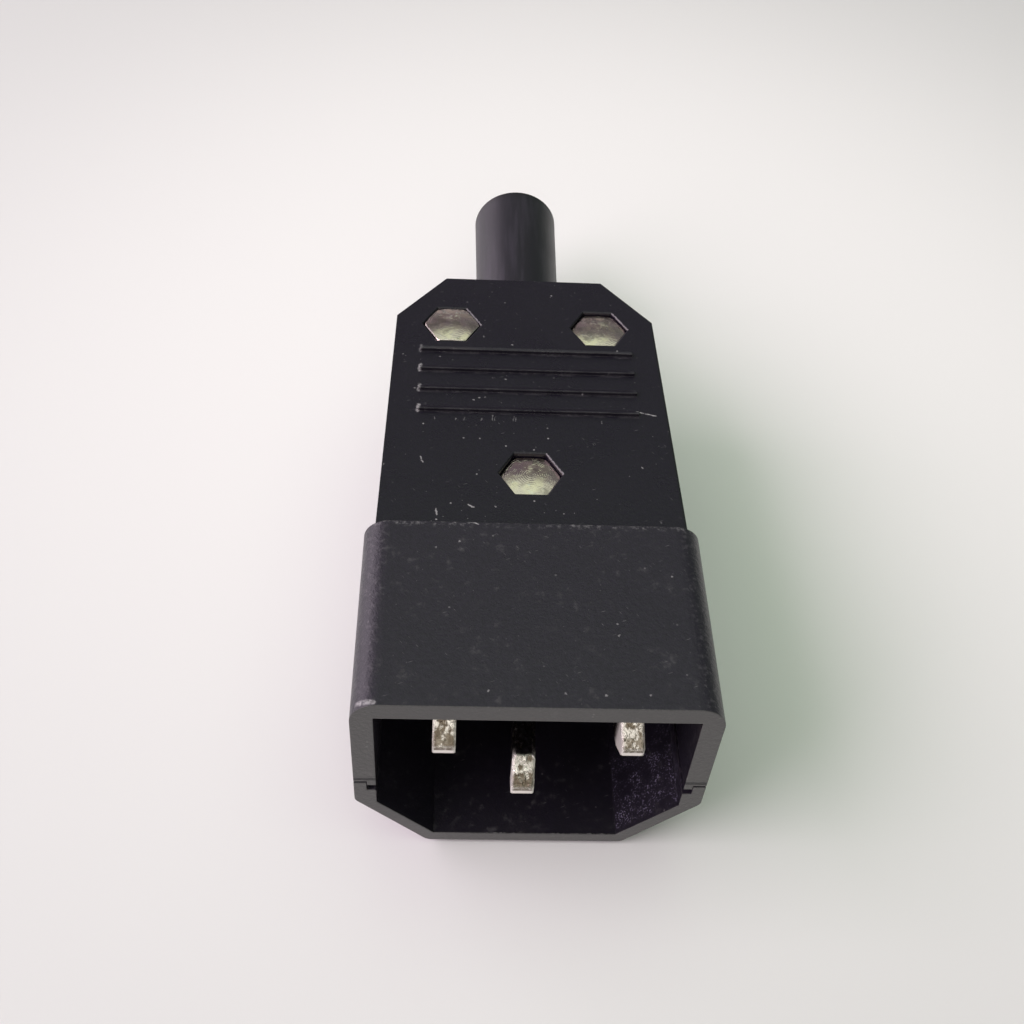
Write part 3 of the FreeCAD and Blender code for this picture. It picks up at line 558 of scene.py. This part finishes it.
# Cable boot: a soft round sleeve of black rubber, moulded with a flange at its front end.
# The half shells trap the flange inside the rear wall, and the sleeve keeps the cord from kinking there.
BOOT_END = 75.05
BOOT_END_ZONE = (BOOT_END - 1.6, BOOT_END - 0.2)
RUBBER_BLACK = (0.0110, 0.0090, 0.0155)
RUBBER_GREY = (0.024, 0.020, 0.031)
RUBBER_DUST = (0.24, 0.23, 0.24)
RUBBER_EDGE_GREY = (0.05, 0.047, 0.052)
DRAGGED = (0.42, 0.75)
DUSTY_RUBBER = (0.4, 0.65)
WORN_RUBBER = (0.45, 0.65)
RUBBER_EDGE = (0.04, 0.25)
RUBBER_DUST_LIGHT = 0.5
PAINTED_BOOT_END_SHADE = 0.8
RUBBER_EDGE_LIGHT = 0.3
RUBBER_ROUNDING = 0.25
RUBBER_RELIEF_DEPTH = 0.025
RUBBER_GRAIN_RELIEF = 0.6
DRAG_RELIEF = 0.4
RUBBER_IOR = 1.46
RUBBER_ROUGHNESS = 0.38
RUBBER_CLOUD_ROUGHNESS = 0.12
RUBBER_DUST_ROUGHNESS = 0.2


def moulded_rubber(name):
    """Smooth black rubber with faint drag lines along the sleeve, and painted shade darkening it towards
    its far end.
    """
    material, shader = new_finish(name)
    where = shader.place()
    along = shader.split(where)[1]
    cloud = shader.noise(where, size=4.0, detail=3.0)
    grain = shader.noise(where, size=0.14, roughness=0.6)
    drag = shader.noise(shader.vector("MULTIPLY", where, (1.6, 0.12, 1.6)), size=1.0, detail=3.0)
    rounded, turned = shader.edge(RUBBER_ROUNDING)
    dust = shader.specks(where, spacing=0.8, radius=0.08, share=0.12) * cloud.step(*DUSTY_RUBBER)
    worn_edge = turned.step(*RUBBER_EDGE) * cloud.step(*WORN_RUBBER)
    colour = shader.mix(drag.step(*DRAGGED), RUBBER_BLACK, RUBBER_GREY)
    colour = shader.mix(dust * RUBBER_DUST_LIGHT, colour, RUBBER_DUST)
    # Painted shade: darker towards the far end of the sleeve.
    colour = shader.mix(along.step(*BOOT_END_ZONE) * PAINTED_BOOT_END_SHADE, colour, SHADE_BLACK)
    colour = shader.mix(worn_edge * RUBBER_EDGE_LIGHT, colour, RUBBER_EDGE_GREY)
    roughness = RUBBER_ROUGHNESS + cloud * RUBBER_CLOUD_ROUGHNESS + dust * RUBBER_DUST_ROUGHNESS
    relief = grain * RUBBER_GRAIN_RELIEF + drag * DRAG_RELIEF
    shader.surface({"Base Color": colour, "Roughness": roughness, "IOR": RUBBER_IOR,
                    "Normal": shader.bump(relief, RUBBER_RELIEF_DEPTH, rounded)})
    return material


dress(moulded_rubber("boot_rubber"), "cable_boot")


# Upper half shell: the moulded cover with the grip ridges and the hexagon pockets, in the same plastic.
# Three steel screws from below clamp it on, and handling has scratched its top and the edge of the step.
SCRATCHES = [
    ((9.9, 33.0), (11.6, 32.55)),
    ((-9.6, 26.6), (-9.4, 25.9)),
    ((-8.15, 20.5), (-8.0, 19.8)),
    ((-5.4, 21.0), (-4.95, 20.75)),
    ((-5.9, 18.4), (-4.6, 17.8)),
]
SCRATCH_WIDTH = 0.10
SCRATCH_CORE = 0.2
SWAY_SIZE = 0.25
SWAY_REACH = (0.26, 0.26, 0.0)

# Short nicks in front of the ridges: place across and length
TICKS = {
    -8.5: 0.25, -6.6: 0.2, -5.85: 0.3, -4.3: 0.25, -3.3: 0.7, -3.1: 0.5, -1.4: 0.6, -1.2: 0.45, 6.6: 0.3,
}
TICK_FROM = 31.35
TICK_LEAN = 0.04
TICK_WIDTH = 0.06
TICK_LIGHT = 0.45

SPECKS = [
    (-3.1, 20.9), (9.8, 25.9), (-4.4, 29.0), (-11.7, 40.1), (-10.4, 35.4), (-8.0, 15.2), (10.9, 12.65),
    (6.2, 7.8), (6.25, 6.7), (1.9, 1.3), (8.2, 1.3), (-3.8, 1.4), (4.9, 1.2), (-3.2, 37.1),
    (-2.05, 36.95), (-5.0, 34.0), (-4.5, 34.3), (-3.95, 34.45), (-1.35, 41.9), (-4.05, 43.0),
    (-8.2, 39.9), (-6.1, 15.9),
]
SPECK_ZONE = (0.13, 0.05)
SPECK_LIGHT = 0.65

POCKETS = ((0.0, 24.9), (-7.15, 44.7), (7.15, 44.7))
POCKET_CORNER = 2.84
POCKET_RIM = 9.4
POCKET_EDGE_WIDTH = 0.07
POCKET_EDGE_HIGHLIGHT = 0.5

RIDGE_FRONT = 32.375
RIDGE_PITCH = 2.74
RIDGE_SIDE = 10.075
RIDGE_EDGE = 0.16
RIDGE_END_HIGHLIGHT = (1.0, 0.7, 0.9, 0.35)
RIDGE_END_RUN = (0.1, 0.8)
RIDGE_END_WIDTH = 0.24
FOOT_ZONE = (0.12, 0.04)
CREST_ZONE = (0.20, 0.08)

SHROUD_TOP = 10.75
STEP_ZONE = (SHROUD_LENGTH - 1.0, SHROUD_LENGTH - 0.3)
STEP_BELOW_TOP = 0.4
CORNER_SCUFF = ((-13.3, 0.5), (-12.2, 0.28))
CORNER_WIDTH = 0.32
CORNER_HEIGHT = 9.0
CRISP_SIDE = RIDGE_SIDE + 0.3
CREASE_HEIGHT = 0.42
CREASE_ZONE = (0.24, 0.12)
CREASE_DEPTH = 0.3

MARK_PATCHES = (0.32, 0.50)
RIDGE_PATCHES = (0.30, 0.55)
RIDGE_LINE_PATCHES = (0.34, 0.66)
STEP_PATCHES = (0.50, 0.72)
CORNER_PATCHES = (0.20, 0.60)
MARK_LIGHT = 0.8
STEP_LIGHT = 0.45
CORNER_LIGHT = 0.75
RIDGE_LINE_LIGHT = 0.08


def scratch(shader, flat, start, end, width):
    """One scratch on a face seen from above, from start to end in millimetres."""
    start = Vector((*start, 0))
    run = Vector((*end, 0)) - start
    from_start = shader.vector("SUBTRACT", flat, tuple(start))
    share = shader.vector("DOT_PRODUCT", from_start, tuple(run / run.length_squared), "Value")
    share = shader.node("ShaderNodeClamp", None, {"Value": share})
    nearest = shader.node("ShaderNodeVectorMath", {"operation": "SCALE"}, {0: tuple(run), "Scale": share})
    return shader.vector("DISTANCE", from_start, nearest, "Value").step(width, SCRATCH_CORE * width)


def handling_marks_and_highlights(shader, where):
    """Scratches and specks on the top, rubbing along the step and at the left front corner, lighter lines
    along the ridges, and painted highlights on the pocket edges, the ridge ends and the ridge crests.
    """
    across, along, up = shader.split(where)
    sway = shader.noise(where, size=SWAY_SIZE, output="Color")
    sway = shader.vector("MULTIPLY", shader.vector("SUBTRACT", sway, (0.5, 0.5, 0.5)), SWAY_REACH)
    flat = shader.vector("ADD", shader.vector("MULTIPLY", where, IN_PLAN), sway)
    patchy = shader.noise(where, size=0.30, detail=3.0, roughness=0.6)
    marks_and_highlights = 0
    for start, end in SCRATCHES:
        marks_and_highlights = scratch(shader, flat, start, end, SCRATCH_WIDTH) + marks_and_highlights
    for x, length in TICKS.items():
        tick_end = (x + TICK_LEAN, TICK_FROM + length)
        marks_and_highlights = scratch(shader, flat, (x, TICK_FROM), tick_end, TICK_WIDTH) * TICK_LIGHT + marks_and_highlights
    for x, y in SPECKS:
        away = shader.vector("DISTANCE", flat, (x, y, 0), "Value")
        marks_and_highlights = away.step(*SPECK_ZONE) * SPECK_LIGHT + marks_and_highlights
    marks_and_highlights = marks_and_highlights * patchy.step(*MARK_PATCHES)
    # Painted highlight: a bright line along the upper right edge of each pocket, the edge that faces the
    # light.
    for x, y in POCKETS:
        upper_corner = (x + POCKET_CORNER / 2, y + POCKET_CORNER * math.sin(math.pi / 3))
        pocket_highlight = scratch(shader, flat, upper_corner, (x + POCKET_CORNER, y), POCKET_EDGE_WIDTH)
        marks_and_highlights = pocket_highlight * (up > POCKET_RIM) * POCKET_EDGE_HIGHLIGHT + marks_and_highlights
    ridge_foot_line_and_crest_highlight = 0
    # Painted highlight on the left end of each ridge, which faces the window.
    for number, wear in enumerate(RIDGE_END_HIGHLIGHT):
        front = RIDGE_FRONT + RIDGE_PITCH * number
        end_run = (RIDGE_END_RUN[0] - RIDGE_SIDE, RIDGE_END_RUN[1] + front)
        lit_ridge_end = scratch(shader, flat, (-RIDGE_SIDE, front), end_run, RIDGE_END_WIDTH)
        marks_and_highlights = lit_ridge_end * wear * patchy.step(*RIDGE_PATCHES) + marks_and_highlights
        # A lighter line at the foot of each ridge, and a painted highlight along its crest.
        ridge_foot_line_and_crest_highlight = abs(along - (front - RIDGE_EDGE)).step(*FOOT_ZONE) + ridge_foot_line_and_crest_highlight
        ridge_foot_line_and_crest_highlight = abs(along - (front + RIDGE_EDGE)).step(*CREST_ZONE) + ridge_foot_line_and_crest_highlight
    ridge_foot_line_and_crest_highlight = ridge_foot_line_and_crest_highlight * (abs(across) < RIDGE_SIDE) * shader.noise(where, size=1.6).step(*RIDGE_LINE_PATCHES)
    on_step = along.step(*STEP_ZONE) * (up > SHROUD_TOP - STEP_BELOW_TOP)
    step_rub = on_step * shader.noise(where, size=0.55, detail=4.0, roughness=0.7).step(*STEP_PATCHES)
    corner = scratch(shader, flat, *CORNER_SCUFF, CORNER_WIDTH) * patchy.step(*CORNER_PATCHES)
    corner = corner * (up > CORNER_HEIGHT) * (along > MARGIN)
    rubbing = step_rub * STEP_LIGHT + corner * CORNER_LIGHT + ridge_foot_line_and_crest_highlight * RIDGE_LINE_LIGHT
    return marks_and_highlights * MARK_LIGHT + rubbing


def housing_edges(shader, where):
    """1 on the outer edges of the housing's top, which the tool leaves sharp, and 0 elsewhere."""
    across, along, up = shader.split(where)
    outer = (abs(across) > CRISP_SIDE) | (along > POCKETS[1][1] + POCKET_CORNER)
    return outer * (along > SHROUD_LENGTH + MARGIN) * (up > POCKET_RIM - MARGIN)


def mouth_creases(shader, where):
    """A line on the rim just above the seam on both sides: a shallow groove, with painted shade in it."""
    across, along, up = shader.split(where)
    line = abs(up - CREASE_HEIGHT).step(*CREASE_ZONE)
    return line * (abs(across) > CAVITY_SIDE - MARGIN) * (along < CREASE_DEPTH)


dress(moulded_plastic("upper_shell_plastic", handling_marks_and_highlights, mouth_creases, housing_edges), "upper_shell")


# Case screws: cross-recessed steel screws from below, with their heads in counterbores of the lower half.
# Case nuts: blind hexagon nuts with a turned dome, pressed into the pockets of the upper half.
# Both are zinc plated, and the nuts have gone slightly yellow.
YELLOWED_ZINC = (0.84, 0.71, 0.60)
PINK_BLOOM = (0.77, 0.63, 0.60)
for side in ("front", "left", "right"):
    dress_turned(ZINC, ZINC_BLOOM, f"case_screw_{side}")
    dress_turned(YELLOWED_ZINC, PINK_BLOOM, f"case_nut_{side}")


# Table: a wide white top that the plug lies on, keel down.
# It is lacquered to a soft gloss and a little uneven from wiping; a painted light falloff makes it greyer
# away from a spot behind the plug.
TABLE_REACH = 3.0
TABLE_WHITE = (0.93, 0.925, 0.92)
PAINTED_FALLOFF_GREY = (0.71, 0.71, 0.71)
PAINTED_LIGHT_CENTRE = (18.0, 75.0, 0.0)
PAINTED_FALLOFF_ZONE = (30.0, 125.0)
TABLE_ROUGHNESS = 0.38
SMEAR_ROUGHNESS = 0.08
TABLE_IOR = 1.45
table_height = cad_box[0].z
table_mesh = bpy.data.meshes.new("table")
corners = [(-TABLE_REACH, -TABLE_REACH), (TABLE_REACH, -TABLE_REACH),
           (TABLE_REACH, TABLE_REACH), (-TABLE_REACH, TABLE_REACH)]
table_mesh.from_pydata([(x, y, table_height) for x, y in corners], [], [(0, 1, 2, 3)])
table = bpy.data.objects.new("table", table_mesh)
bpy.context.scene.collection.objects.link(table)
table_finish, shader = new_finish("table_lacquer")
spot = shader.place()
smear = shader.noise(spot, size=60.0, detail=3.0)
# Painted light: white near a spot behind the plug, fading to grey away from it.
painted_falloff = shader.vector("DISTANCE", spot, PAINTED_LIGHT_CENTRE, "Value").step(*PAINTED_FALLOFF_ZONE)
lacquer = shader.mix(painted_falloff, TABLE_WHITE, PAINTED_FALLOFF_GREY)
shader.surface({"Base Color": lacquer, "Roughness": TABLE_ROUGHNESS + smear * SMEAR_ROUGHNESS,
                "IOR": TABLE_IOR})
table_mesh.materials.append(table_finish)


# Light: one wide soft window on the left, and a room that is bright overhead and darker to the right.
# A pane at the back left and one in front show in the rounded edges, the pins and the nuts.
SKY_STOPS = [
    (0.00, (0.58, 0.64, 0.59)),
    (0.30, (0.43, 0.40, 0.41)),
    (0.52, (0.14, 0.12, 0.14)),
    (0.70, (0.13, 0.118, 0.14)),
    (0.82, (0.74, 0.88, 0.68)),
    (1.00, (0.76, 0.93, 0.76)),
]
CEILING_ZONE = (0.75, 0.55)
LEFT_WALL = (0.80, 0.70, 0.77)
LEFT_WALL_ZONE = (-0.25, -0.70)
RIGHT_WALL = (0.14, 0.175, 0.15)
RIGHT_WALL_ZONE = (-0.1, 0.6)
BACK_PANE = (2.6, 2.3, 2.55)
BACK_PANE_PLACE = (-0.76, 0.56, 0.27)
BACK_PANE_ZONE = (0.40, 0.22)
FRONT_SHADE = (0.22, 0.195, 0.165)
FRONT_SHADE_MIDDLE = -0.07
FRONT_SHADE_SIDES = (0.55, 0.35)
FRONT_SHADE_TOP = (0.96, 0.86)
FRONT_SHADE_ZONE = (-0.30, -0.55)
FRONT_PANE = (1.6, 1.55, 1.45)
FRONT_PANE_MIDDLE = 0.05
FRONT_PANE_SIDES = (0.22, 0.14)
FRONT_PANE_FOOT = (0.40, 0.48)
FRONT_PANE_TOP = (0.90, 0.82)
FRONT_PANE_ZONE = (-0.2, -0.3)
world = bpy.data.worlds.new("room")
bpy.context.scene.world = world
world.use_nodes = True
shader = Shader(world.node_tree)
bearing = shader.node("ShaderNodeTexCoord", output="Generated")
across, along, height = shader.split(bearing)
sky = shader.node("ShaderNodeValToRGB", {"stops": SKY_STOPS}, {"Fac": height})
below_ceiling = height.step(*CEILING_ZONE)
sky = shader.mix(across.step(*LEFT_WALL_ZONE) * below_ceiling, sky, LEFT_WALL)
sky = shader.mix(across.step(*RIGHT_WALL_ZONE) * below_ceiling, sky, RIGHT_WALL)
on_back_pane = shader.vector("DISTANCE", bearing, BACK_PANE_PLACE, "Value").step(*BACK_PANE_ZONE)
sky = shader.mix(on_back_pane, sky, BACK_PANE)
in_front = abs(across - FRONT_SHADE_MIDDLE).step(*FRONT_SHADE_SIDES) * height.step(*FRONT_SHADE_TOP)
sky = shader.mix(in_front * along.step(*FRONT_SHADE_ZONE), sky, FRONT_SHADE)
in_pane = height.step(*FRONT_PANE_FOOT) * height.step(*FRONT_PANE_TOP)
in_pane = in_pane * abs(across - FRONT_PANE_MIDDLE).step(*FRONT_PANE_SIDES)
sky = shader.mix(in_pane * along.step(*FRONT_PANE_ZONE), sky, FRONT_PANE)
glow = shader.node("ShaderNodeBackground", None, {"Color": sky, "Strength": 1.0})
shader.node("ShaderNodeOutputWorld", None, {"Surface": glow})

WINDOW_PLACE = Vector((-0.62, -0.14, 0.50))
WINDOW_AIM = Vector((0.0, 0.03, 0.0))
WINDOW_WIDTH = 0.8
WINDOW_HEIGHT = 0.55
WINDOW_WATTS = 6.3
WINDOW_TINT = (1.0, 0.83, 0.95)
window_light = bpy.data.lights.new("window", "AREA")
window_light.shape = "RECTANGLE"
window_light.size = WINDOW_WIDTH
window_light.size_y = WINDOW_HEIGHT
window_light.energy = WINDOW_WATTS
window_light.color = WINDOW_TINT
window = bpy.data.objects.new("window", window_light)
window.location = WINDOW_PLACE
window.rotation_euler = (WINDOW_AIM - WINDOW_PLACE).to_track_quat("-Z", "Y").to_euler()
bpy.context.scene.collection.objects.link(window)


# Camera: a plain lens above and in front of the mouth, tilted down on the plug as it lies.
# Its place and its angles in radians are those from which the photograph was taken.
EYE = Vector((-7.0834, -51.5373, 88.7166)) / MILLIMETRES
PITCH = -0.8325
YAW = 0.0747
ROLL = 0.0797
FOCAL_PIXELS = 1271.2446
IMAGE_PIXELS = 1024
SENSOR = 36.0
NEAREST = 0.005
forward = Vector((math.cos(PITCH) * math.sin(YAW), math.cos(PITCH) * math.cos(YAW), math.sin(PITCH)))
level = Vector((math.cos(YAW), -math.sin(YAW), 0))
upright = level.cross(forward)
right = math.cos(ROLL) * level + math.sin(ROLL) * upright
top = math.cos(ROLL) * upright - math.sin(ROLL) * level
camera = bpy.data.objects.new("camera", bpy.data.cameras.new("camera"))
camera.data.sensor_width = SENSOR
camera.data.lens = SENSOR * FOCAL_PIXELS / IMAGE_PIXELS
camera.data.clip_start = NEAREST
camera.matrix_world = Matrix.Translation(EYE) @ Matrix((right, top, -forward)).transposed().to_4x4()
bpy.context.scene.collection.objects.link(camera)
bpy.context.scene.camera = camera
